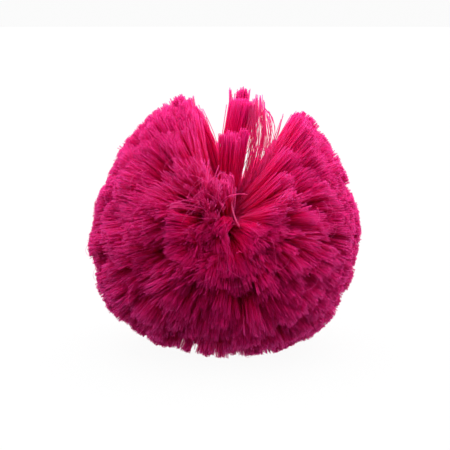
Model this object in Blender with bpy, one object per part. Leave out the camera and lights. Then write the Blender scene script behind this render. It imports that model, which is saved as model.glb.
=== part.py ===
"""A yarn pom pom, 60 mm across, standing on its own strands.

The bundle of yarn is wound, tied once round its waist, cut and trimmed.  The cut
strands gather in locks that fan out from the tied core to a round, slightly sagging
ball.  The two halves part along the tie: the parting is open at the top, where one
narrow tuft stands up on its own, and it closes to a crease down the front and back.

Units are metres, +Z is up and the front is -Y.  The floor is z = 0 and the origin
lies under the middle of the ball.
"""

import math
import random

import bmesh
import bpy
from mathutils import Matrix, Vector

# Driving dimensions
BALL_R = 0.0295            # tie to trimmed ends
CORE_R = 0.0060            # waist of the tied bundle
CORE_HEIGHT = 0.0264       # middle of the core above the floor
TIE_THREAD_R = 0.00035     # binding thread
TIE_GAP = 0.0003           # thread to core
SAG = 0.0030               # drop of a level strand's tip
LEAN = math.radians(10)    # the parting leans back
ROLL = math.radians(11)    # the parting tips over to the right

# Locks
COLUMNS = 7                # locks along each edge of the cube that is blown up to a ball
ROW_ANGLE = 90 / COLUMNS   # degrees that a lock covers at the core
JITTER = 2.2               # degrees by which the grid of roots is disturbed
LENGTH_SPREAD = 0.025      # lock to lock, as a share of the length
RAGGED = 0.012             # corner to corner of one cut end
CROWN = 0.0005             # rise of a cut end's middle
SEED = 14

# Where the two halves part, in degrees from the plane of the tie, by the angle round the
# winding: 0 is the top, 90 the front, 180 the foot and 270 the back.  A negative value
# is an edge that leans over to the other side.
PARTING = (
    {"round": 0, "right": 17, "left": 23},
    {"round": 20, "right": 20, "left": 21},
    {"round": 40, "right": 30, "left": 17},
    {"round": 55, "right": 35, "left": 13},
    {"round": 70, "right": 30, "left": 5},
    {"round": 80, "right": 20, "left": 0},
    {"round": 90, "right": 13, "left": -3},
    {"round": 105, "right": 10, "left": -4},
    {"round": 120, "right": 7, "left": -2},
    {"round": 150, "right": 1, "left": 3},
    {"round": 180, "right": -3, "left": 6},
    {"round": 250, "right": 4, "left": 4},
    {"round": 285, "right": 7, "left": 6},
    {"round": 315, "right": 14, "left": 12},
    {"round": 340, "right": 16, "left": 22},
)
ROOT_OPENING = 7           # degrees kept clear at the core, on each side, for the tie
OPEN_R = 0.0150            # radius at which the parting has its full width

# Length of the strands that show as the outline, by the angle round the front view:
# 0 is the right, 90 the top.
OUTLINE = (
    {"angle": 0, "length": 0.0296},
    {"angle": 30, "length": 0.0298},
    {"angle": 54, "length": 0.0312},
    {"angle": 66, "length": 0.0300},
    {"angle": 104, "length": 0.0306},
    {"angle": 125, "length": 0.0300},
    {"angle": 155, "length": 0.0290},
    {"angle": 180, "length": 0.0296},
    {"angle": 215, "length": 0.0292},
    {"angle": 248, "length": 0.0272},
    {"angle": 262, "length": 0.0294},
    {"angle": 318, "length": 0.0292},
    {"angle": 338, "length": 0.0287},
)

# The rings that a lock is lofted through: share of its length and how much of its own
# cell the ring fills.  The root ring lies on the core.
RINGS = (
    {"along": 0.50, "fill": 0.86},
    {"along": 0.86, "fill": 0.90},
    {"along": 1.00, "fill": 0.76},
)
ROOT_FILL = 0.82

# The tuft that stands alone in the open parting: its roots, its section and its rows
TUFT_ACROSS = 22.5         # degrees of the left half's roots that belong to it
TUFT_ROUND = 1.5 * ROW_ANGLE
TUFT_WIDTH = 0.0058
TUFT_DEPTH = 0.0078
TUFT_ROWS = {
    "front": {"length": 0.0215, "across": -12},
    "middle": {"length": 0.0312, "across": -5},
    "back": {"length": 0.0304, "across": -3},
}
BESIDE_TUFT = 4            # degrees by which it pushes the left half's strands aside

# Crumpled short locks at the front of the parting
DIMPLE = {"across": -6, "round": 86, "reach": 14, "depth": 0.38}

YARN_PINK = (0.66, 0.012, 0.13, 1)
THREAD_PINK = (0.78, 0.06, 0.26, 1)


def material(name, colour, roughness):
    made = bpy.data.materials.new(name)
    made.use_nodes = True
    shader = made.node_tree.nodes["Principled BSDF"]
    shader.inputs["Base Color"].default_value = colour
    shader.inputs["Roughness"].default_value = roughness
    shader.inputs["Metallic"].default_value = 0
    return made


def looked_up(table, key, column, angle):
    """The column's value at an angle, eased from row to row round the full turn."""
    angle %= 360
    for low, high in zip(table, table[1:] + table[:1]):
        start = low[key]
        end = high[key] if high[key] > start else high[key] + 360
        if start <= angle < end:
            share = (angle - start) / (end - start)
            share *= share * (3 - 2 * share)
            return low[column] + share * (high[column] - low[column])
    return table[0][column]


def angles_of(direction):
    """(across, round) in degrees: out of the parting plane and round the winding."""
    across = math.degrees(math.asin(max(-1, min(1, direction.x))))
    return across, math.degrees(math.atan2(-direction.y, direction.z))


def direction_at(across, turn):
    a, t = math.radians(across), math.radians(turn)
    return Vector((math.sin(a), -math.cos(a) * math.sin(t), math.cos(a) * math.cos(t)))


def bundle_of(middle):
    """Which part of the pom pom the lock with this middle belongs to."""
    across, turn = angles_of(middle)
    if across > 0:
        return "right"
    if abs(turn) > TUFT_ROUND:
        return "left"
    return "tuft" if across > -TUFT_ACROSS else "beside"


def tuft_row(turn):
    return "middle" if abs(turn) < ROW_ANGLE / 2 else "front" if turn > 0 else "back"


def parted(direction, middle, radius):
    """Where a root's direction has moved to at this radius, with the parting open."""
    across, turn = angles_of(direction)
    side = math.copysign(1, across) if abs(across) > 0.01 else 0
    fade = 1 - abs(across) / 90
    bundle = bundle_of(middle)
    half = "right" if bundle == "right" else "left"
    push = looked_up(PARTING, "round", half, turn) * fade
    opened = across + side * push
    round_to = turn
    if bundle == "tuft":
        width = math.degrees(TUFT_WIDTH / radius)
        row = TUFT_ROWS[tuft_row(angles_of(middle)[1])]
        opened = row["across"] + (across / TUFT_ACROSS + 0.5) * width
        round_to = turn / (2 * TUFT_ROUND) * math.degrees(TUFT_DEPTH / radius)
    elif bundle == "beside":
        apart = min(1, max(0, abs(across) / TUFT_ACROSS - 1))
        opened = across - BESIDE_TUFT - apart * (push - BESIDE_TUFT)
    rooted = across + side * ROOT_OPENING * fade
    share = min(1, max(0, (radius - CORE_R) / (OPEN_R - CORE_R)))
    return direction_at(rooted + share * (opened - rooted), turn + share * (round_to - turn))


def lock_length(middle):
    if bundle_of(middle) == "tuft":
        return TUFT_ROWS[tuft_row(angles_of(middle)[1])]["length"]
    out = parted(middle, middle, BALL_R)
    round_view = math.degrees(math.atan2(out.z, out.x) - ROLL)
    rim = out.x ** 2 + out.z ** 2
    length = BALL_R + rim * (looked_up(OUTLINE, "angle", "length", round_view) - BALL_R)
    away = math.degrees(out.angle(direction_at(DIMPLE["across"], DIMPLE["round"])))
    return length * (1 - DIMPLE["depth"] * math.exp(-((away / DIMPLE["reach"]) ** 2)))


def placed(direction, radius, turned):
    """The point of a strand at this radius, sagged under its own weight."""
    out = turned @ direction
    drop = SAG * (radius / BALL_R) ** 2 * (out.x ** 2 + out.y ** 2)
    return out * radius + Vector((0, 0, CORE_HEIGHT - drop))


def ball_of_roots(rng):
    """A cube of 6 x 7 x 7 faces blown up to a ball, with one grid line in the parting."""
    bm = bmesh.new()
    bmesh.ops.create_cube(bm, size=2)
    bmesh.ops.subdivide_edges(bm, edges=bm.edges[:], cuts=COLUMNS - 1, use_grid_fill=True)
    left_columns = (COLUMNS + 1) // 2
    right_columns = COLUMNS - left_columns
    for vert in bm.verts:
        across, back, up = vert.co
        if abs(across) < 0.999:
            column = round((across + 1) / 2 * COLUMNS) - left_columns
            across = column / (right_columns if column > 0 else left_columns)
        spread = [math.tan(share * math.pi / 4) for share in (across, back, up)]
        direction = Vector(spread).normalized()
        side, turn = angles_of(direction)
        loose = 0 if abs(turn) < 3 * ROW_ANGLE and abs(side) < 46 else JITTER
        on_parting = abs(side) < 0.1
        side += 0 if on_parting else rng.uniform(-loose, loose)
        turn += rng.uniform(-loose, loose) * (abs(side) < 75)
        vert.co = direction_at(side, turn)
    return bm


def pile(collection, yarn, turned):
    """Core and locks: each face of the ball is inset, then extruded ring by ring."""
    rng = random.Random(SEED)
    bm = ball_of_roots(rng)
    grid = bm.verts.layers.float_vector.new("grid")
    number = bm.faces.layers.int.new("lock")
    locks = []
    for index, face in enumerate(bm.faces):
        middle = sum((v.co for v in face.verts), Vector()).normalized()
        spread = 1 + rng.uniform(-LENGTH_SPREAD, LENGTH_SPREAD)
        locks.append({"middle": middle, "length": lock_length(middle) * spread})
        face[number] = index
    for vert in bm.verts:
        vert[grid] = vert.co
        vert.co = placed(parted(vert.co, vert.co, CORE_R), CORE_R, turned)

    def shape_ring(faces, along, fill):
        for face in faces:
            lock = locks[face[number]]
            for vert in face.verts:
                radius = max(CORE_R, lock["length"] * along)
                if along == 1:
                    radius *= 1 + rng.uniform(-RAGGED, RAGGED)
                cell = lock["middle"].lerp(vert[grid], fill).normalized()
                vert.co = placed(parted(cell, lock["middle"], radius), radius, turned)

    faces = bm.faces[:]
    bmesh.ops.inset_individual(bm, faces=faces, thickness=CORE_R / 100)
    shape_ring(faces, 0, ROOT_FILL)
    for ring in RINGS:
        inner = {face[number]: [v.co.copy() for v in face.verts] for face in faces}
        faces = bmesh.ops.extrude_discrete_faces(bm, faces=faces)["faces"]
        shape_ring(faces, ring["along"], ring["fill"])
        for face in faces:
            stand_on_floor(face, inner[face[number]])
    hanging = [face for face in faces if min(v.co.z for v in face.verts) > 0]
    crowned = bmesh.ops.poke(bm, faces=hanging)["verts"]
    centre = Vector((0, 0, CORE_HEIGHT))
    for vert in crowned:
        vert.co += (vert.co - centre).normalized() * CROWN
    bmesh.ops.triangulate(bm, faces=[f for f in bm.faces if len(f.verts) > 3])
    mesh = bpy.data.meshes.new("pile")
    bm.to_mesh(mesh)
    bm.free()
    mesh.materials.append(yarn)
    made = bpy.data.objects.new("pile", mesh)
    collection.objects.link(made)
    return made


def stand_on_floor(face, inner):
    """A lock that would reach through the floor ends on it, level, and so is shorter."""
    for vert, before in zip(face.verts, inner):
        if vert.co.z < 0:
            share = before.z / (before.z - vert.co.z)
            vert.co = before.lerp(vert.co, share)
            vert.co.z = 0


def tie(collection, thread, turned):
    """The binding thread: a ring round the core's waist, in the plane of the parting."""
    bpy.ops.mesh.primitive_torus_add(
        major_radius=CORE_R + TIE_GAP + TIE_THREAD_R,
        minor_radius=TIE_THREAD_R,
        major_segments=48,
        minor_segments=8,
        location=(0, 0, CORE_HEIGHT),
    )
    made = bpy.context.object
    made.name = made.data.name = "tie"
    made.rotation_euler = (turned @ Matrix.Rotation(math.pi / 2, 3, "Y")).to_euler()
    made.data.shade_smooth()
    made.data.materials.append(thread)
    for holder in made.users_collection:
        holder.objects.unlink(made)
    collection.objects.link(made)
    return made


def centre_over_origin(pieces, whole):
    """Moves the pieces level until the box round the whole is centred on the origin."""
    corners = [v.co for v in whole.data.vertices]
    for axis in (0, 1):
        low = min(c[axis] for c in corners)
        high = max(c[axis] for c in corners)
        for piece in pieces:
            piece.location[axis] -= (low + high) / 2


def main():
    for old in list(bpy.data.objects):
        bpy.data.objects.remove(old)
    collection = bpy.data.collections.new("yarn_pom_pom")
    bpy.context.scene.collection.children.link(collection)
    turned = Matrix.Rotation(-LEAN, 3, "X") @ Matrix.Rotation(ROLL, 3, "Y")
    yarn = material("yarn", YARN_PINK, 0.85)
    thread = material("thread", THREAD_PINK, 0.6)
    ball = pile(collection, yarn, turned)
    ring = tie(collection, thread, turned)
    centre_over_origin([ball, ring], ball)


main()
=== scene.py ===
import math

import bmesh
import bpy
import numpy as np
from mathutils import Matrix, Vector


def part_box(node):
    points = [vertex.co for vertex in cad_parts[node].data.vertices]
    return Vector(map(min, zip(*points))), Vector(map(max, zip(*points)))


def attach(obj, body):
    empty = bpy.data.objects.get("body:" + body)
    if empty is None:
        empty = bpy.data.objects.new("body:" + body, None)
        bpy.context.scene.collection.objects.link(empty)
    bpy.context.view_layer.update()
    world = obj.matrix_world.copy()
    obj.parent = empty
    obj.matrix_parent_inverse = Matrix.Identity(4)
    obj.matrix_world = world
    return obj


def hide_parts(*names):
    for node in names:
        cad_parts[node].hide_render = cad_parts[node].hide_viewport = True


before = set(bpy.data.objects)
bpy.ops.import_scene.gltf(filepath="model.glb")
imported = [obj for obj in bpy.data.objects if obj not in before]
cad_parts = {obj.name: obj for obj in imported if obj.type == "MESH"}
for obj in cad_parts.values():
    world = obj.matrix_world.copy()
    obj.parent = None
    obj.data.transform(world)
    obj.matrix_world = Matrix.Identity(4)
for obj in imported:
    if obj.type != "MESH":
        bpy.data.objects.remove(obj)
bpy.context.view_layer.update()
mm = 0.001
rng = np.random.default_rng(7)
print("frame loaded")

# The knot of the bundle, from which all the yarn fans out, sits in the middle of the tie
tieLow, tieHigh = (np.array(corner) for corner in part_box("tie"))
knot = (tieLow + tieHigh) / 2

pose = {"lean": 10, "roll": 11, "eye": 10}  # degrees: the parting's tilt, and how far one looks down
eye = math.radians(pose["eye"])
viewAxes = np.array([(1, 0, 0), (0, math.sin(eye), math.cos(eye)), (0, -math.cos(eye), math.sin(eye))])
turned = np.array(
    Matrix.Rotation(-math.radians(pose["lean"]), 3, "X") @ Matrix.Rotation(math.radians(pose["roll"]), 3, "Y")
)


def unit(vectors):
    return vectors / np.linalg.norm(vectors, axis=-1, keepdims=True)


def eased(share):
    share = np.clip(share, 0, 1)
    return share * share * (3 - 2 * share)


def bell(offset):  # 1 in the middle, falling away on both sides
    return np.exp(-(offset ** 2))


# A direction is a unit vector from the knot, with the parting upright: x across it, z up it, -y ahead.
# The functions take and give a whole array of them
def evenly(count, shake):  # directions spread evenly over a ball, then shaken
    index = np.arange(count) + 0.5
    height = 1 - 2 * index / count
    angle = math.pi * (1 + 5 ** 0.5) * index
    level = np.sqrt(1 - height * height)
    out = np.stack([level * np.cos(angle), level * np.sin(angle), height], 1)
    return unit(out + rng.normal(0, shake * 2 / math.sqrt(count), out.shape))


def anglesOf(out):  # degrees out of the parting's plane, and round the winding
    across = np.degrees(np.arcsin(np.clip(out[:, 0], -1, 1)))
    return across, np.degrees(np.arctan2(-out[:, 1], out[:, 2]))


def directionAt(across, turn):
    across, turn = np.radians(across), np.radians(turn)
    return np.stack([np.sin(across), -np.cos(across) * np.sin(turn), np.cos(across) * np.cos(turn)], -1)


def roundFront(out):  # degrees round the front of the ball: 0 right, 90 top
    return (np.degrees(np.arctan2(out[:, 2], out[:, 0])) - pose["roll"]) % 360


def asSeen(out):  # how far right, up and towards the viewer each direction reaches
    world = out @ turned.T
    return world[:, 0], world @ viewAxes[1], world @ viewAxes[2]


def newPiece(name, mesh):
    piece = bpy.data.objects.new(name, mesh)
    bpy.context.scene.collection.objects.link(piece)
    return piece


# Where the strands lie on their map: across it by each one's own shade, up it from root to tip
strandMap = {"from": 0.005, "span": 0.955, "width": 0.03, "root": 0.02, "length": 0.95, "caps": (0.02, 0.025)}


def strandMesh(name, path, thick, shade, span):
    # three-sided closed tubes; path is strands x rings x 3, thick strands x rings, shade one a strand,
    # and span the stretch from root to tip that they are
    count, rings = path.shape[:2]
    along = unit(np.gradient(path, axis=1))
    around = unit(np.cross(along, rng.normal(size=(count, 1, 3))))
    across = np.cross(along, around)
    corner = np.radians(np.array([0, 120, 240]))[:, None]
    ring = np.cos(corner) * around[:, :, None] + np.sin(corner) * across[:, :, None]
    verts = path[:, :, None] + thick[:, :, None, None] * ring

    step = np.arange(rings - 1)[:, None, None] * 3
    side = np.arange(3)[None, :, None]
    other = (side + 1) % 3
    quads = np.concatenate([step + side, step + other, step + 3 + other, step + 3 + side], -1)
    ends = np.array([2, 1, 0, rings * 3 - 3, rings * 3 - 2, rings * 3 - 1])
    oneStrand = np.concatenate([quads.ravel(), ends])
    loops = np.arange(count)[:, None] * rings * 3 + oneStrand
    sizes = np.tile([4] * (3 * (rings - 1)) + [3, 3], count)

    share = strandMap["root"] + strandMap["length"] * np.linspace(*span, rings)
    quadV = np.stack([share[:-1], share[:-1], share[1:], share[1:]], -1)[:, None] * np.ones((1, 3, 1))
    quadU = (np.arange(3)[None, :, None] + np.array([0, 1, 1, 0])) / 3 * np.ones((rings - 1, 1, 1))
    oneU = np.concatenate([quadU.ravel(), [0, 0.5, 1, 0, 0.5, 1]]) * strandMap["width"]
    low, high = share[0], share[-1]
    rootCap, tipCap = strandMap["caps"]
    oneV = np.concatenate([quadV.ravel(), [low, low - rootCap, low, high, high + tipCap, high]])
    left = strandMap["from"] + strandMap["span"] * shade[:, None]
    uv = np.stack([left + oneU, np.broadcast_to(oneV, (count, len(oneV)))], -1)

    mesh = bpy.data.meshes.new(name)
    mesh.vertices.add(count * rings * 3)
    mesh.vertices.foreach_set("co", verts.ravel())
    mesh.loops.add(loops.size)
    mesh.loops.foreach_set("vertex_index", loops.ravel().astype(np.int32))
    mesh.polygons.add(sizes.size)
    mesh.polygons.foreach_set("loop_start", np.concatenate([[0], np.cumsum(sizes)[:-1]]).astype(np.int32))
    mesh.uv_layers.new(name="OFBake").uv.foreach_set("vector", uv.ravel())
    mesh.update(calc_edges=True)
    mesh.shade_smooth()
    return newPiece(name, mesh)


class Value:  # a socket that can be reckoned with
    def __init__(self, finish, socket):
        self.finish, self.socket = finish, socket

    def reckon(self, operation, one, two):
        return self.finish.node("Math", {"operation": operation}, {0: one, 1: two})

    def __add__(self, other):
        return self.reckon("ADD", self, other)

    def __sub__(self, other):
        return self.reckon("SUBTRACT", self, other)

    def __rsub__(self, other):
        return self.reckon("SUBTRACT", other, self)

    def __mul__(self, other):
        return self.reckon("MULTIPLY", self, other)

    __radd__ = __add__
    __rmul__ = __mul__


class Finish:  # a material, or the sky, under construction
    def __init__(self, name, owner=None):
        self.owner = owner or bpy.data.materials.new(name)
        self.owner.use_nodes = True
        self.tree = self.owner.node_tree
        self.tree.nodes.clear()

    def node(self, kind, settings, sockets, output=0):
        node = self.tree.nodes.new("ShaderNode" + kind)
        for name, value in settings.items():
            if name == "stops":
                for stop, (place, colour) in zip(node.color_ramp.elements, value):
                    stop.position, stop.color = place, (*colour, 1)
            else:
                setattr(node, name, value)
        for name, value in sockets.items():
            if isinstance(value, Value):
                self.tree.links.new(value.socket, node.inputs[name])
            else:
                node.inputs[name].default_value = value
        return Value(self, node.outputs[output]) if len(node.outputs) else None

    def show(self, shader):
        self.node("OutputMaterial", {}, {"Surface": shader})
        return self.owner


yarnLook = {
    "deep": (0.985, 0.003, 0.16),  # from the root to more than half way
    "tip": (0.99, 0.02, 0.30),     # the open cut end, painted paler and pinker: a painted highlight of light coming through the fringe
    "tipFrom": 0.78,
    "darkest": 0.90,               # of the strands, against the lightest
    "roughness": 0.6,
    "shine": 0.0,
    "glow": (0.99, 0.14, 0.56),    # light that comes through
    "glowShare": 0.45,
}
# A paler, pinker copy of the yarn's colours for the wisps, hairs and core: painted highlight, for the light
# that comes through thin single strands
looseLook = yarnLook | {
    "deep": (0.98, 0.06, 0.36), "tip": (0.98, 0.2, 0.55), "glow": (0.99, 0.2, 0.58), "glowShare": 0.75,
}
threadLook = yarnLook | {
    "deep": (0.97, 0.12, 0.42), "tip": (0.97, 0.25, 0.58), "roughness": 0.4, "shine": 0.4, "glowShare": 0.4,
}

# Each strand is a ring of finer fibres with gaps between, which thin out and end raggedly at the tip.
# The count is that of the whole map's width, and half is a fibre's half width as a share of its room
fibres = {"count": 200, "half": (0.22, 0.42), "thinFrom": 0.8, "thin": 0.25, "ragged": 0.03}


def split(finish, own, rootToTip):  # a number by chance for each fibre, and the mask of where they are
    place = own * fibres["count"]
    number = finish.node("Math", {"operation": "FLOOR"}, {0: place})
    chance = finish.node("TexWhiteNoise", {"noise_dimensions": "1D"}, {"W": number})
    other = finish.node("TexWhiteNoise", {"noise_dimensions": "1D"}, {"W": number + 0.5})
    offCentre = finish.node("Math", {"operation": "ABSOLUTE"}, {0: place - number - 0.5})
    thinning = finish.node("MapRange", {}, {
        "Value": rootToTip, "From Min": fibres["thinFrom"], "To Min": 1, "To Max": 1 - fibres["thin"],
    })
    narrow, broad = fibres["half"]
    half = (narrow + (broad - narrow) * chance) * thinning
    inside = finish.node("Math", {"operation": "LESS_THAN"}, {0: offCentre, 1: half})
    ends = 1 - fibres["ragged"] * other
    before = finish.node("Math", {"operation": "LESS_THAN"}, {0: rootToTip, 1: ends})
    return chance, inside * before


def yarnMaterial(name, look, inFibres=False):
    finish = Finish(name)
    uv = finish.node("UVMap", {"uv_map": "OFBake"}, {})
    own = finish.node("SeparateXYZ", {}, {0: uv})
    rootToTip = finish.node("SeparateXYZ", {}, {0: uv}, output=1)
    # Towards its end each strand turns to the tip's painted highlight
    stops = ((look["tipFrom"], look["deep"]), (1.0, look["tip"]))
    along = finish.node("ValToRGB", {"stops": stops}, {0: rootToTip})
    through = finish.node("BsdfTranslucent", {}, {"Color": (*look["glow"], 1)})
    chance, mask = own, 1
    if inFibres:
        chance, mask = split(finish, own, rootToTip)
        clear = finish.node("BsdfTransparent", {}, {})
        through = finish.node("MixShader", {}, {0: mask, 1: clear, 2: through})
    shade = look["darkest"] + (1 - look["darkest"]) * chance
    colour = finish.node("VectorMath", {"operation": "SCALE"}, {0: along, "Scale": shade})
    surface = finish.node("BsdfPrincipled", {}, {
        "Base Color": colour, "Alpha": mask,
        "Roughness": look["roughness"], "Specular IOR Level": look["shine"],
    })
    return finish.show(finish.node("MixShader", {}, {0: look["glowShare"], 1: surface, 2: through}))


yarn = yarnMaterial("yarn", yarnLook, inFibres=True)
thread = yarnMaterial("thread", threadLook)
plainYarn = yarnMaterial("plainYarn", looseLook)
print("materials ready")


# The pile: all the yarn that was wound, tied, cut and trimmed to a ball
ball = {
    "radius": 29.5 * mm,
    "coreRadius": 6.0 * mm,
    "openRadius": 15.0 * mm,   # where the parting has its full width
    "sag": 3.0 * mm,           # drop of a level strand's tip
    "uneven": 0.12,            # share by which the sag differs from tuft to tuft
    "fluff": 1.036,            # how far the longest strands pass the mean outline
    "floorGap": 0.2 * mm,
}


def placed(out, radius, sagging):
    world = out @ turned.T
    level = world[:, 0] ** 2 + world[:, 1] ** 2
    point = world * radius[:, None] + knot
    point[:, 2] -= ball["sag"] * sagging * (radius / ball["radius"]) ** 2 * level
    return point


# Degrees by which the halves part, by the angle round the winding: 0 top, 90 front, 180 foot,
# 270 back, and the degrees kept clear for the tie at the core
parting = {
    "round": (0, 20, 40, 55, 70, 80, 90, 105, 120, 150, 180, 210, 290, 315, 340, 360),
    "right": (20, 24, 34, 37, 31, 21, 14, 9, 5, -2, -3, -2, -2, 10, 19, 20),
    "left": (27, 26, 22, 17, 8, 0, -4, -5, -3, 8, 9, 1, -2, 13, 27, 27),
    "root": (7, 7, 7, 7, 7, 7, 6, 4, 3, 3, 3, 3, 3, 5, 7, 7),
    "least": 0.2,
}
# Roots left free for the lone tuft, in degrees, and how little the yarn beside it is pushed away
tuftGap = {"across": 22.5, "round": 19.3, "push": 4, "past": 5, "fade": 8}


def parted(out, radius, right):  # where a root's direction has moved to at this radius
    across, turn = anglesOf(out)
    across = np.where(right, np.maximum(across, parting["least"]), np.minimum(across, -parting["least"]))
    fade = 1 - np.abs(across) / 90
    around = turn % 360
    push = np.interp(around, parting["round"], parting["left"])
    push = np.where(right, np.interp(around, parting["round"], parting["right"]), push) * fade
    apart = np.clip(np.abs(across) / tuftGap["across"] - 1, 0, 1)
    beside = tuftGap["push"] + apart * (push - tuftGap["push"])
    near = eased((tuftGap["round"] + tuftGap["past"] - np.abs(turn)) / tuftGap["fade"])
    near = near * (~right & (across < -tuftGap["across"]))
    push += near * (beside - push)
    side = np.where(right, 1, -1)
    rooted = across + side * fade * np.interp(around, parting["round"], parting["root"])
    share = (radius - ball["coreRadius"]) / (ball["openRadius"] - ball["coreRadius"])
    return directionAt(rooted + np.clip(share, 0, 1) * (across + side * push - rooted), turn)


# How far the tips of the front are combed outward, in radians, by the angle round the front
combing = {
    "angle": (0, 30, 60, 90, 120, 150, 180, 215, 250, 280, 310, 360),
    "amount": (0.12, 0.12, 0.0, 0.0, 0.30, 0.34, 0.30, 0.14, 0.18, 0.14, 0.04, 0.08),
    "fullAt": 45, "noneAt": 95,
}


def combed(out):  # the sideways shift of each direction's tip
    offAxis = np.degrees(np.arccos(np.clip(-out[:, 1], -1, 1)))
    amount = np.interp(roundFront(out), combing["angle"], combing["amount"])
    amount *= np.interp(offAxis, (0, combing["fullAt"], combing["noneAt"]), (0, 1, 0))
    away = unit(out * (1, 0, 1) + 1e-6)
    tangent = unit(away - np.sum(away * out, 1, keepdims=True) * out + 1e-9)
    return tangent * amount[:, None]


# The front of the parting, where the strands are shorter, droop and lie crumpled
crumple = {
    "across": -4, "round": 98, "reach": 19, "depth": 0.22,
    "wide": 38, "lean": 5.0, "short": 2.6, "droop": 1.4, "pull": 2.0,
}


def nearFront(out, reach):
    centre = directionAt(crumple["across"], crumple["round"])
    away = np.degrees(np.arccos(np.clip(out @ centre, -1, 1)))
    return bell(away / reach)


# Below the crumpled front the yarn hangs apart in a furrow, given as it is seen from the front:
# how far up it lies at each place to the right, and how far the yarn beside it moves, in ball radii
furrow = {
    "right": (-0.62, -0.45, -0.19, 0.0, 0.24, 0.5), "up": (-0.42, -0.53, -0.60, -0.44, -0.40, -0.45),
    "from": -0.45, "to": 0.26, "fade": 0.2, "below": 0.16, "above": 0.07, "reach": 0.24,
    "recess": 0.10, "recessAt": 0.09, "recessWide": 0.10,
}
# A cleft under the front where the yarn stands apart, in ball radii to the right and up
cleft = {
    "right": -0.25, "under": -0.72, "fade": 0.1, "wide": 0.05, "push": 0.05, "short": 0.10, "facing": -0.3,
}


def furrowAt(out):  # how far below the line each direction is, and how much it belongs to the furrow
    right, up, toward = asSeen(out)
    below = np.interp(right, furrow["right"], furrow["up"]) - up
    here = np.clip(1 + (right - furrow["from"]) / furrow["fade"], 0, 1)
    return below, here * np.clip(1 - (right - furrow["to"]) / furrow["fade"], 0, 1) * (toward > 0)


def cleftAt(out):  # the side each direction lies on, and how close it is
    right, up, toward = asSeen(out)
    aside = (right - cleft["right"]) / cleft["wide"]
    under = eased((cleft["under"] - up) / cleft["fade"]) * (toward > cleft["facing"])
    return np.sign(aside), under * bell(aside)


def furrowed(out):  # the shift of each direction's tip away from the furrow and the cleft
    below, here = furrowAt(out)
    push = np.where(below > 0, -furrow["below"], furrow["above"]) * np.exp(-np.abs(below) / furrow["reach"])
    side, close = cleftAt(out)
    aside = side * close * cleft["push"]
    return (here * push)[:, None] * (viewAxes[1] @ turned) + aside[:, None] * turned[0]


# Length of the strands that show as the outline, in mm, by the angle round the front
outline = {
    "angle": (0, 30, 54, 66, 104, 125, 155, 180, 205, 225, 240, 255, 270, 285, 318, 338, 360),
    "length": (
        29.2, 29.3, 30.9, 29.8, 30.6, 29.8, 28.7, 29.8, 29.8,
        29.2, 28.3, 28.2, 28.2, 28.5, 29.1, 28.4, 29.2,
    ),
}
# A shallow groove down the left side, between the yarn of the front and that of the back
groove = {"angle": (140, 165, 215, 235), "rim": 0.875, "wide": 0.03, "depth": 0.08}


def trimmedLength(out):
    angle = roundFront(out)
    rim = out[:, 0] ** 2 + out[:, 2] ** 2
    length = np.interp(angle, outline["angle"], outline["length"]) * mm
    length = ball["radius"] + rim * (length - ball["radius"])
    length *= ball["fluff"] * (1 - crumple["depth"] * nearFront(out, crumple["reach"]))
    below, here = furrowAt(out)
    length *= 1 - furrow["recess"] * here * bell((below - furrow["recessAt"]) / furrow["recessWide"])
    length *= 1 - cleft["short"] * cleftAt(out)[1]
    along = np.interp(angle, groove["angle"], (0, 1, 1, 0)) * (out[:, 1] < 0)
    return length * (1 - groove["depth"] * along * bell((np.sqrt(rim) - groove["rim"]) / groove["wide"]))


# The lower right is trimmed more evenly than the rest, given as it is seen from the front, in ball radii,
# and the yarn lies calmer close to the parting's top, within these degrees
trimmed = {"right": 0.55, "up": -0.35, "reach": 0.55, "calm": 0.55, "facing": -0.3}
calmTop = {"least": 0.35, "across": 25, "round": 110}


def unevenness(out):
    right, up, toward = asSeen(out)
    away = np.hypot(right - trimmed["right"], up - trimmed["up"])
    return 1 - trimmed["calm"] * bell(away / trimmed["reach"]) * (toward > trimmed["facing"])


def calmness(out):
    across, turn = (np.abs(angle) for angle in anglesOf(out))
    far = np.maximum(np.clip(across / calmTop["across"], 0, 1), np.clip(turn / calmTop["round"], 0, 1))
    return calmTop["least"] + (1 - calmTop["least"]) * far


# Clumps within clumps, coarse to fine: how unevenly they are set, how far strands draw together half
# way and at the tip, how far a clump leans and how much shorter than the trimmed ball it can be
clumps = (
    {"name": "locks", "count": 150, "shake": 0.35, "half": 0.04, "tip": 0.02, "lean": 0.016, "short": 0.014},
    {"name": "tufts", "count": 1300, "shake": 0.35, "half": 0.12, "tip": 0.11, "lean": 0.037, "short": 0.044},
    {"name": "yarns", "count": 17000, "shake": 0.5, "half": 0.05, "tip": 0.03, "lean": 0.010, "short": 0.006},
)
strand = {
    "perYarn": 5, "apart": 0.6, "radius": 0.115 * mm, "wispRadius": 0.09 * mm,
    "taper": ((0, 0.7, 1), (0.7, 1.0, 1.15)),  # share of the length, thickness there
    "halfAt": 0.68,                            # where the clumps count as half way
    "straight": 0.3,                           # share of the ball's radius before a strand leans
    "loose": 0.006, "splay": 0.013,
    "wallAcross": 16, "wallRound": 100,        # roots nearer to the parting show right down to the core
    "wallRings": (0, 0.35, 0.7, 1), "rings": (0.45, 1),
    "filler": 0.17,                            # share of the strands that end below the surface
    "fillerShort": (0.06, 0.28),
    "yarnShade": 0.4,                          # share of the shade that a yarn's strands have in common
    "pieces": 4,
}


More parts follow.
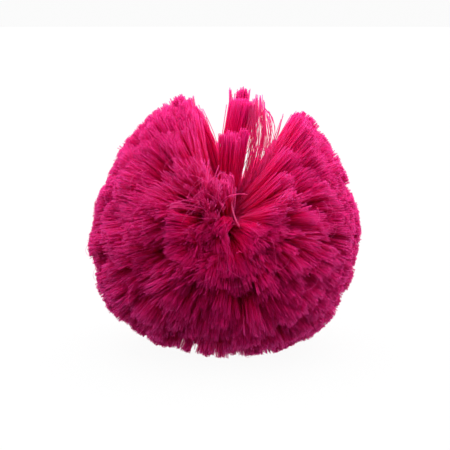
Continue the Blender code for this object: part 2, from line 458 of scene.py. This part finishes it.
def grown(out, right, length, lean, sagging, pulled, levels, shares):  # the line of each strand
    path = np.empty((len(out), len(shares), 3))
    for ring, share in enumerate(shares):
        radius = ball["coreRadius"] + (length - ball["coreRadius"]) * share
        here = parted(out, radius, right)
        aim = here.copy()
        for level, centre, inClump in levels:
            middle = parted(centre, ball["radius"], centre[:, 0] > 0)[inClump]
            pull = np.interp(share, (0, strand["halfAt"], 1), (0, level["half"], level["tip"]))
            aim += pull * pulled * (middle - here)
        bend = radius / ball["radius"]
        aim += eased((bend - strand["straight"]) / (1 - strand["straight"]))[:, None] * lean
        aim += (bend ** 2)[:, None] * (combed(here) + furrowed(here))
        path[:, ring] = placed(unit(aim), radius, sagging)
    tip = path[:, -1, 2]
    low = tip < ball["floorGap"]  # those that would reach through the floor end on it
    cut = (knot[2] - ball["floorGap"]) / (knot[2] - tip)
    path[low] = knot + (path[low] - knot) * cut[low, None, None]
    return path


def clumped(yarns, right, member):  # the clumps of each size, and which of them each strand is in
    levels = []
    for level in clumps[:2]:
        centre = evenly(level["count"], level["shake"])
        otherSide = right[:, None] != (centre[:, 0] > 0)[None]
        near = yarns @ centre.T - 9 * otherSide  # no clump reaches over the parting
        levels.append((level, centre, near.argmax(1)[member]))
    return [*levels, (clumps[2], yarns, member)]


def pile():
    yarns = evenly(clumps[2]["count"], clumps[2]["shake"])
    across, turn = anglesOf(yarns)
    free = (across < 0) & (across > -tuftGap["across"]) & (np.abs(turn) < tuftGap["round"])
    yarns = yarns[~free]
    right = yarns[:, 0] > 0
    spacing = math.sqrt(4 * math.pi / clumps[2]["count"])
    member = np.repeat(np.arange(len(yarns)), strand["perYarn"])
    out = unit(yarns[member] + strand["apart"] * spacing * rng.uniform(-1, 1, (len(member), 3)))
    levels = clumped(yarns, right, member)
    right = right[member]
    front = nearFront(out, crumple["wide"])
    uneven = unevenness(out)
    calm = calmness(out) * uneven

    length = trimmedLength(parted(out, ball["radius"], right))
    length *= 1 - strand["loose"] * np.abs(rng.normal(size=len(out)))
    lean = rng.normal(0, strand["splay"], (len(out), 3))
    for level, centre, inClump in levels:
        shorter = level["short"] * np.abs(rng.normal(size=len(centre)))[inClump]
        length *= 1 - shorter * uneven * (1 + crumple["short"] * front)
        leaning = rng.normal(0, level["lean"], (len(centre), 3))[inClump]
        lean += leaning * (1 + crumple["lean"] * front)[:, None]
    lean *= calm[:, None]
    pulled = (calm * (1 + crumple["pull"] * front))[:, None]
    tuft, inTuft = levels[1][1:]
    sagging = 1 + rng.normal(0, ball["uneven"], len(tuft))[inTuft]
    sagging += crumple["droop"] * front * np.abs(rng.normal(size=len(tuft)))[inTuft]
    filler = rng.random(len(out)) < strand["filler"]
    length[filler] *= 1 - rng.uniform(*strand["fillerShort"], filler.sum())
    shade = rng.random(len(yarns))[member] * strand["yarnShade"]
    shade = shade + rng.random(len(out)) * (1 - strand["yarnShade"])

    across, turn = anglesOf(out)
    wall = (np.abs(across) < strand["wallAcross"]) & (np.abs(turn) < strand["wallRound"]) & ~filler
    made = []
    for name, chosen, shares, parts in (
        ("walls", wall, strand["wallRings"], 1),
        ("strands", ~wall, strand["rings"], strand["pieces"]),
    ):
        chosen = np.flatnonzero(chosen)
        chosen = chosen[np.argsort(out[chosen, 0])]
        for i, part in enumerate(np.array_split(chosen, parts)):
            own = [(level, centre, inClump[part]) for level, centre, inClump in levels]
            path = grown(*(each[part] for each in (out, right, length, lean, sagging, pulled)), own, shares)
            thick = strand["radius"] * np.interp(shares, *strand["taper"]) * np.ones((len(part), 1))
            made.append(strandMesh(f"{name}{i + 1}", path, thick, shade[part], (shares[0], 1)))
    return made


core = {"grown": 1.02, "subdivisions": 4, "mapPart": (0.95, 0.02)}  # its colour is a strand's at the root


def coreBall():  # the wound middle, seen at the bottom of the parting
    mesh = bpy.data.meshes.new("core")
    bm = bmesh.new()
    uv = bm.loops.layers.uv.new("OFBake")
    size = ball["coreRadius"] * core["grown"]
    bmesh.ops.create_icosphere(bm, subdivisions=core["subdivisions"], radius=size, calc_uvs=True)
    bmesh.ops.translate(bm, verts=bm.verts, vec=Vector(knot))
    for face in bm.faces:
        face.smooth = True
        for loop in face.loops:
            loop[uv].uv *= Vector(core["mapPart"])
    bm.to_mesh(mesh)
    bm.free()
    return newPiece("core", mesh)


# Tufts laid one by one, each with its knee and tip in mm from the knot (right, up and towards the
# viewer), its widths in mm from root to tip, its count of strands, and how ragged its cut end is
tufts = {
    "loneTop": ((2.4, 17, -3), (4.0, 31.4, -5), (2.0, 2.4), 160, 0.02),
    "loneBack": ((1.6, 16.5, -1), (4.3, 28.4, -2), (2.6, 4.4, 5.9), 560, 0.02),
    "loneFront": ((0.5, 11, 4), (1.3, 20.6, 6), (2.8, 4.6), 420, 0.03),
    "loneSide": ((2.6, 12.6, 4), (4.3, 21.3, 5), (1.6, 2.0), 150, 0.03),
    "loneRoot": ((0.6, 7, 9), (0.3, 11.4, 13), (2.4, 2.6), 110, 0.08),
    "loneEdge": ((0.8, 16, -3), (1.2, 32.0, -4), (0.7, 0.3), 10, 0.02),
    "leftEdge": ((-2.7, 15.8, -1), (-7.7, 27.4, -4), (1.8, 2.8), 130, 0.05),
    "tierUpper": ((10.5, 11.0, 6), (18.6, 19.6, 8), (2.8, 5.4), 230, 0.05),
    "tierEdge": ((12.0, 8.4, 8), (21.2, 15.2, 10), (2.8, 5.4), 230, 0.05),
    "tierTop": ((9.0, 9.0, 9), (15.8, 16.0, 13), (2.6, 5.0), 190, 0.06),
    "tierOuter": ((10.5, 6.2, 11), (18.6, 11.6, 14), (2.6, 5.0), 190, 0.06),
    "tierMiddle": ((8.4, 5.6, 12), (14.2, 10.6, 17), (2.6, 5.0), 190, 0.06),
    "tierLow": ((9.0, 3.2, 14), (15.6, 5.6, 20), (2.4, 4.6), 170, 0.07),
    "tierFront": ((7.0, 1.6, 15), (12.6, 2.2, 22.5), (2.4, 4.6), 190, 0.07),
    "head": ((-0.4, 4.4, 14), (-1.4, 8.6, 21), (2.2, 4.6), 260, 0.04),
    "headLeft": ((-2.7, 2.9, 14), (-5.6, 6.9, 22), (2.0, 3.6), 170, 0.06),
    "leftFold": ((-7.1, 0.8, 20), (-12.4, 1.6, 23), (2.0, 2.6), 150, 0.07),
    "leftFoldLow": ((-7.1, -1.4, 20), (-12.8, -2.2, 23), (2.0, 3.0), 150, 0.08),
    "curl": ((-5.4, -2.4, 20), (-8.8, -1.0, 23), (1.4, 2.2), 90, 0.12),
    "spikes": ((-1.8, 0.8, 18), (-3.6, 2.8, 23.5), (1.4, 2.6), 110, 0.12),
    "centre": ((0.2, 0.8, 17), (-2.2, -2.0, 23.5), (1.6, 3.4), 170, 0.13),
    "centreLeft": ((-2.0, 0.0, 17), (-5.4, -3.0, 23.5), (1.6, 3.0), 150, 0.13),
    "fanUpper": ((4.0, -0.4, 17), (7.6, -2.8, 23.5), (1.8, 3.4), 190, 0.06),
    "fanLower": ((3.6, -2.2, 17), (7.0, -6.0, 23.5), (1.8, 4.2), 220, 0.06),
    "fanRight": ((6.4, -0.4, 16), (12.0, -2.4, 22.8), (2.0, 4.8), 200, 0.06),
    "foldLeft": ((-7.0, -3.4, 18), (-12.6, -6.1, 22.5), (2.0, 3.4), 150, 0.09),
    "foldLow": ((-4.6, -4.0, 17), (-8.8, -8.6, 23), (2.0, 3.6), 160, 0.09),
    "hangLeft": ((-1.9, -5.8, 17), (-3.9, -13.2, 22.5), (2.0, 4.2), 220, 0.08),
    "hangFar": ((-5.6, -6.4, 17), (-11.4, -14.0, 19.5), (2.0, 4.0), 180, 0.08),
    "hangMiddle": ((0.3, -5.2, 17), (0.3, -11.2, 23), (1.8, 3.4), 160, 0.10),
    "hangRight": ((2.6, -5.0, 17), (5.5, -11.0, 23), (2.0, 4.4), 220, 0.05),
    "hangLow": ((1.6, -6.6, 15), (2.9, -15.0, 20.5), (2.0, 4.4), 190, 0.07),
}
# Single strands that have come away, given the same way
wisps = {
    "bundle": ((6.2, 15.5, 2), (7.2, 29.6, -1), (0.8, 2.0, 3.2, 2.2), 30, 0.02),
    "bundleRight": ((8.3, 15.0, 2), (8.2, 26.6, -1), (1.0, 2.0, 2.6, 1.4), 20, 0.05),
    "bundleLeft": ((4.7, 14.6, 2), (6.5, 29.2, -1), (1.2, 2.4, 2.6, 1.2), 18, 0.04),
    "slitBent": ((10.0, 18.6, 1), (8.2, 26.6, 0), (1.2, 1.6, 0.8), 4, 0.04),
    "slitRight": ((8.0, 11.5, 5), (10.2, 19.6, 2), (1.6, 1.8), 5, 0.08),
    "arc": ((5.4, 15.7, 6), (11.9, 14.9, 6), (0.6, 0.6), 2, 0.03),
    "arcLow": ((-0.5, 5.6, 21), (5.2, 6.6, 17), (0.6, 0.4), 2, 0.02),
    "stray": ((8.1, 12.0, 5), (12.9, 25.8, 3), (1.4, 0.3), 4, 0.03),
    "loneRight": ((3.0, 16, -2), (5.6, 32.2, -5), (1.6, 0.2), 4, 0.02),
    "leftEdge": ((-1.8, 15.8, -1), (-6.6, 26.8, -4), (1.4, 2.2), 12, 0.06),
    "cross": ((-6.2, 4.2, 22), (-12.6, 3.4, 22), (1.0, 1.4), 6, 0.05),
}
# How strands lie in a tuft: thick in yarns of three, or fine and single in the wisps
laying = {
    "tufts": {"perYarn": 3, "rings": 4, "wave": 0.2 * mm, "bow": 0, "span": (0, 1)},
    # the wisps are coloured as the outer stretch of a strand, towards the painted highlight of the tip
    "wisps": {"perYarn": 1, "rings": 9, "wave": 0.06 * mm, "bow": 0.7 * mm, "span": (0.6, 0.95)},
    "yarnWidth": 0.24, "outlier": 1.5, "dome": 0.05, "flat": 0.8, "taper": (0.8, 1.1),
}


def laidTufts(name, laid, radius, how):
    rings, perYarn = how["rings"], how["perYarn"]
    paths = []
    share = np.linspace(0, 1, rings)[None, :, None]
    for knee, tip, widths, count, ragged in laid.values():
        yarnOf = np.repeat(np.arange(math.ceil(count / perYarn)), perYarn)[:count]
        knee, tip = (np.array(end) * mm @ viewAxes for end in (knee, tip))
        root = unit(knee) * ball["coreRadius"]
        bend = 2 * knee - (root + tip) / 2
        angle = rng.random(len(yarnOf))[yarnOf, None, None] * 2 * math.pi
        reach = np.sqrt(rng.random(len(yarnOf)))[yarnOf, None, None]
        shorter = ragged * np.abs(rng.normal(size=len(yarnOf)))[yarnOf, None, None]
        shorter += ragged / 3 * np.abs(rng.normal(size=(count, 1, 1))) + laying["dome"] * reach ** 2
        way = share * (1 - shorter)
        line = knot + (1 - way) ** 2 * root + 2 * way * (1 - way) * bend + way ** 2 * tip
        ahead = unit((1 - way) * (bend - root) + way * (tip - bend))
        sideways = unit(np.cross(ahead, viewAxes[2] + 1e-3))
        wide = np.interp(way, np.linspace(0, 1, len(widths)), widths) / 2 * mm
        own = np.clip(rng.normal(size=(2, count, 1, 1)), -laying["outlier"], laying["outlier"])
        own *= laying["yarnWidth"]
        line = line + wide * (reach * np.cos(angle) + own[0]) * sideways
        line = line + wide * laying["flat"] * (reach * np.sin(angle) + own[1]) * np.cross(sideways, ahead)
        drift = rng.normal(0, how["wave"], (len(yarnOf), rings, 3))[yarnOf]
        drift = drift + rng.normal(0, how["wave"] / 2, (count, rings, 3))
        bowed = rng.normal(0, 1, (count, 1, 1)) * how["bow"] * np.sin(math.pi * way) ** 2
        paths.append(line + drift * way ** 2 + bowed * sideways)
    path = np.concatenate(paths)
    thick = radius * np.linspace(*laying["taper"], rings) * np.ones((len(path), 1))
    return strandMesh(name, path, thick, rng.random(len(path)), how["span"])


# Fine hairs that stand off the surface all over, more of them at the front of the parting
hairs = {
    "count": 90, "shake": 0.8, "front": 60, "spread": 0.35, "above": 20,
    "length": (3, 8), "radius": 0.035 * mm, "depth": (0.93, 1.0), "bow": 0.35, "lift": 0.25,
    "rings": 7, "span": (0.8, 1),
}


def looseHairs():
    out = evenly(hairs["count"], hairs["shake"])
    front = directionAt(crumple["across"], crumple["round"] - hairs["above"])
    front = unit(front + rng.normal(0, hairs["spread"], (hairs["front"], 3)))
    out = np.concatenate([out, front])
    middle = parted(out, ball["radius"], out[:, 0] > 0)
    radius = trimmedLength(middle) * rng.uniform(*hairs["depth"], len(out))
    middle = placed(middle, radius, 1)
    off = unit(middle - knot)
    heading = unit(np.cross(off, rng.normal(size=off.shape)) + hairs["lift"] * off)
    long = rng.uniform(*hairs["length"], len(out)) * mm
    way = np.linspace(-0.5, 0.5, hairs["rings"])[None, :, None]
    path = way * heading[:, None] - hairs["bow"] * 4 * way ** 2 * off[:, None]
    path = middle[:, None] + long[:, None, None] * path
    path[:, :, 2] = np.maximum(path[:, :, 2], 2 * ball["floorGap"])
    thick = hairs["radius"] * np.ones(path.shape[:2])
    return strandMesh("hairs", path, thick, rng.random(len(out)), hairs["span"])


# The two-ply thread pulled tight round the middle, and its end, which lies out over the right half.
# The end's points are mm from the knot: right, up and towards the viewer
tie = {
    "radius": 6.25 * mm, "ply": 0.11 * mm, "twist": 0.9, "pitch": 1.2 * mm, "ringSteps": 240,
    "end": (
        (0.7, 5.6, 3), (0.4, 5.4, 10), (1.0, 5.5, 14), (1.4, 4.3, 16),
        (1.6, 2.8, 17), (2.2, 1.2, 18), (2.8, 0.0, 18), (3.3, -1.1, 15),
    ),
    "endSteps": 80, "endSmoothing": 10, "mapSpot": (0.5, 0.4), "mapSize": 0.01,
}


def twisted(bm, line, closed):  # two plies wound round a line
    ahead = np.roll(line, -1, 0) - line if closed else np.gradient(line, axis=0)
    along = np.concatenate([[0], np.cumsum(np.linalg.norm(np.diff(line, axis=0), axis=1))])
    turns = max(round(along[-1] / tie["pitch"]), 1)
    side = unit(np.cross(unit(ahead), viewAxes[0] + 0.01))
    up = np.cross(unit(ahead), side)
    for ply in (0, math.pi):
        angle = (2 * math.pi * turns * along / (along[-1] + (along[1] if closed else 0)) + ply)[:, None]
        wound = line + tie["twist"] * tie["ply"] * (np.cos(angle) * side + np.sin(angle) * up)
        curve = bpy.data.curves.new("ply", "CURVE")
        curve.dimensions = "3D"
        curve.bevel_depth = tie["ply"]
        curve.bevel_resolution = 1
        curve.use_fill_caps = True
        spline = curve.splines.new("POLY")
        spline.points.add(len(line) - 1)
        spline.points.foreach_set("co", np.hstack([wound, np.ones((len(line), 1))]).ravel())
        spline.use_cyclic_u = closed
        tube = bpy.data.objects.new("ply", curve)
        bpy.context.scene.collection.objects.link(tube)
        bm.from_mesh(tube.to_mesh())
        bpy.data.objects.remove(tube)
        bpy.data.curves.remove(curve)


def tieThread():
    turn = np.linspace(0, 2 * math.pi, tie["ringSteps"], endpoint=False)
    ring = np.stack([0 * turn, -np.sin(turn), np.cos(turn)], 1) * tie["radius"]
    bm = bmesh.new()
    twisted(bm, ring @ turned.T + knot, True)
    points = np.array(tie["end"]) * mm @ viewAxes + knot
    way = np.linspace(0, len(points) - 1, tie["endSteps"])
    end = np.stack([np.interp(way, range(len(points)), points[:, axis]) for axis in range(3)], 1)
    for _ in range(tie["endSmoothing"]):
        end[1:-1] = (end[:-2] + 2 * end[1:-1] + end[2:]) / 4
    twisted(bm, end, False)
    uv = bm.loops.layers.uv.new("OFBake")
    for face in bm.faces:
        face.smooth = True
        for corner, loop in enumerate(face.loops):
            offset = Vector((corner in (1, 2), corner > 1)) * tie["mapSize"]
            loop[uv].uv = Vector(tie["mapSpot"]) + offset
    mesh = bpy.data.meshes.new("tieThread")
    bm.to_mesh(mesh)
    bm.free()
    return newPiece("tieThread", mesh)


def dress(piece, material, replaced):
    piece.data.materials.append(material)
    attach(piece, "root")
    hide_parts(replaced)
    print(piece.name, sum(len(face.vertices) - 2 for face in piece.data.polygons), "triangles")


for piece in pile():
    dress(piece, yarn, "pile")
dress(laidTufts("laidTufts", tufts, strand["radius"], laying["tufts"]), yarn, "pile")
dress(laidTufts("wisps", wisps, strand["wispRadius"], laying["wisps"]), plainYarn, "pile")
dress(looseHairs(), plainYarn, "pile")
dress(coreBall(), plainYarn, "pile")
dress(tieThread(), thread, "tie")
print("yarn laid")


studio = {
    "floor": 0.03, "floorGlow": 0.94, "floorSize": 60,
    "wallRadius": 4, "wallHeight": 1, "wallSides": 64,
    "distance": 276 * mm, "aimHeight": 26.6 * mm, "pixelsPerMm": 4.533, "frame": 450,
    "sensor": 36, "clip": (0.01, 200),
    # soft boxes of the sky: where each stands, and how bright it is there
    "sky": {
        "back": ((0.05, 1, 0), 3.6), "above": ((0, 0, 1), 2.5), "right": ((1, 0, 0), 0.3),
        "front": ((0, -1, 0.4), 0.22),
    },
    "bounces": {"diffuse_bounces": 16, "transparent_max_bounces": 24, "max_bounces": 20},
}


def paperFinish():  # it glows by itself, so that it stays pale
    finish = Finish("paper")
    return finish.show(finish.node("BsdfPrincipled", {}, {
        "Base Color": (studio["floor"],) * 3 + (1,), "Roughness": 0.9, "Specular IOR Level": 0,
        "Emission Color": (1, 1, 1, 1), "Emission Strength": studio["floorGlow"],
    }))


def setStage(piece, name, material, shadowed):  # it lights no yarn
    piece.name = name
    piece.data.materials.append(material)
    piece.visible_diffuse = piece.visible_transmission = piece.visible_glossy = False
    piece.visible_shadow = shadowed


paper = paperFinish()
bpy.ops.mesh.primitive_plane_add(size=studio["floorSize"])
setStage(bpy.context.object, "floor", paper, True)
bpy.ops.mesh.primitive_cylinder_add(
    vertices=studio["wallSides"], radius=studio["wallRadius"], depth=studio["wallHeight"],
    end_fill_type="NOTHING",
)
setStage(bpy.context.object, "backdrop", paper, False)

camera = bpy.data.objects.new("camera", bpy.data.cameras.new("camera"))
bpy.context.scene.collection.objects.link(camera)
camera.location = Vector((0, 0, studio["aimHeight"])) + studio["distance"] * Vector(viewAxes[2])
camera.rotation_euler = (math.pi / 2 - eye, 0, 0)
camera.data.sensor_width = studio["sensor"]
camera.data.lens = studio["sensor"] * studio["pixelsPerMm"] / mm * studio["distance"] / studio["frame"]
camera.data.clip_start, camera.data.clip_end = studio["clip"]
bpy.context.scene.camera = camera

world = bpy.data.worlds.new("studio")
bpy.context.scene.world = world
sky = Finish("sky", world)
ahead = sky.node("TexCoord", {}, {})
light = 0
for place, strength in studio["sky"].values():
    box = Vector(place).normalized()
    facing = sky.node("VectorMath", {"operation": "DOT_PRODUCT"}, {0: ahead, 1: box}, output=1)
    light = light + strength * sky.node("Math", {"operation": "MAXIMUM"}, {0: facing, 1: 0})
sky.node("OutputWorld", {}, {"Surface": sky.node("Background", {}, {"Color": light})})
bpy.context.scene.view_settings.view_transform = "Standard"
for name, count in studio["bounces"].items():
    setattr(bpy.context.scene.cycles, name, count)
print("studio ready")
